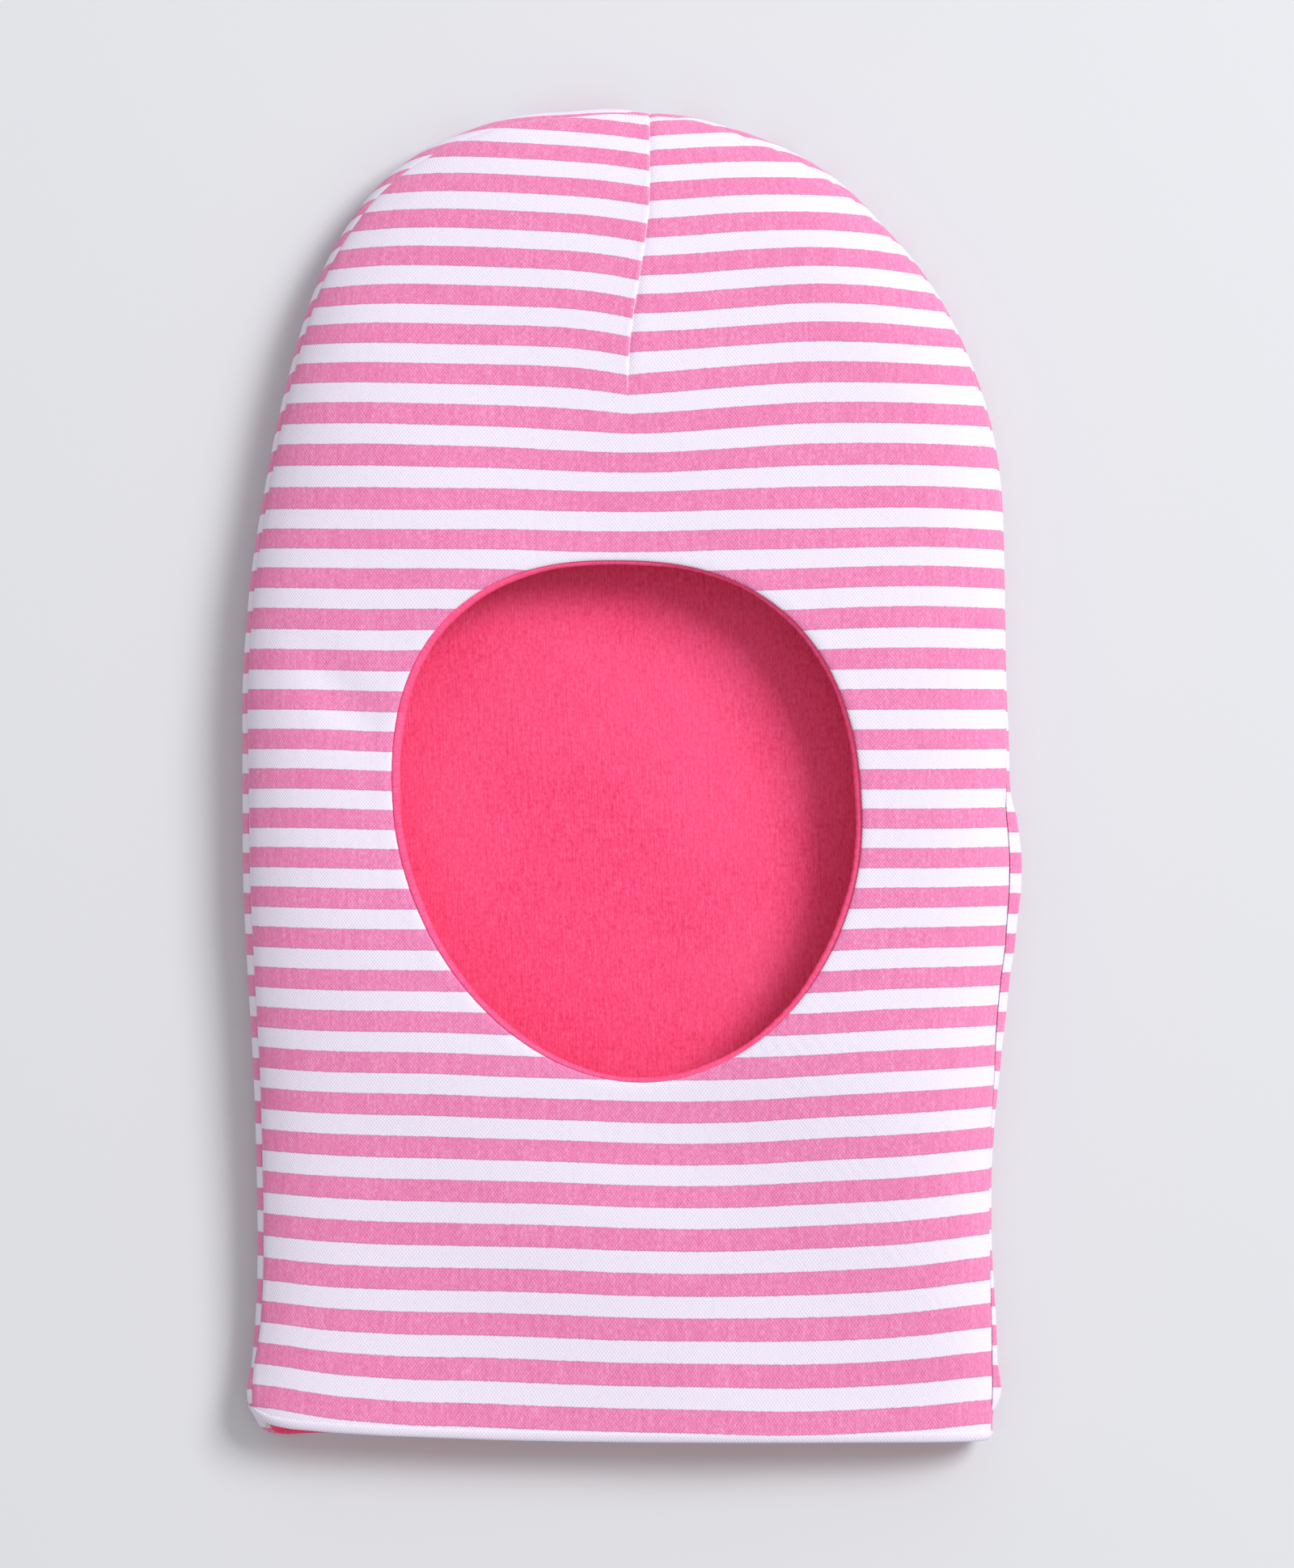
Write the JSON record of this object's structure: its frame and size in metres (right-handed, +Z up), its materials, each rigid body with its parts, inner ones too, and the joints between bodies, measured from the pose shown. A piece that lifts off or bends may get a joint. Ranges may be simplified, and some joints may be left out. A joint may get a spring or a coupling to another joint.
{
  "type": "toddler balaclava hood",
  "caption": "Lined, striped knit balaclava for a small child, lying flat on its back, with an egg-shaped face opening and an open neck",
  "frame": {"origin": "on the surface it lies on, under the middle of its outline", "axes": "X across the head, Y from the neck hem to the crown, Z up out of the face opening"},
  "size_m": [0.188, 0.326, 0.022],
  "materials": {
    "striped_knit": "matt striped cotton knit, pink and white",
    "striped_knit_wrong_side": "matt cotton knit, wrong side",
    "lining_knit": "matt hot-pink cotton knit",
    "white_thread": "spun polyester thread",
    "pink_thread": "spun polyester thread",
    "cream_thread": "spun polyester thread"
  },
  "bodies": {
    "root": {"outer_front_panel": "striped_knit", "outer_back_panel": "striped_knit", "lining_front_panel": "lining_knit", "lining_back_panel": "lining_knit", "face_opening_rim": "lining_knit", "face_opening_allowance": "striped_knit_wrong_side", "face_opening_overlock": "white_thread", "neck_hem_fold": "striped_knit", "neck_hem_allowance_front": "striped_knit_wrong_side", "neck_hem_allowance_back": "striped_knit_wrong_side", "neck_hem_overlock_front": "white_thread", "neck_hem_overlock_back": "white_thread", "outer_side_allowance": "striped_knit_wrong_side", "outer_side_overlock": "white_thread", "lining_side_allowance": "lining_knit", "lining_side_overlock": "pink_thread", "outer_front_dart_fold": "striped_knit_wrong_side", "outer_back_dart_fold": "striped_knit_wrong_side", "lining_front_dart_fold": "lining_knit", "lining_back_dart_fold": "lining_knit", "outer_front_dart_stitching": "white_thread", "outer_back_dart_stitching": "white_thread", "lining_front_dart_stitching": "pink_thread", "lining_back_dart_stitching": "pink_thread", "hem_corner_tack": "cream_thread"}
  },
  "joints": []
}
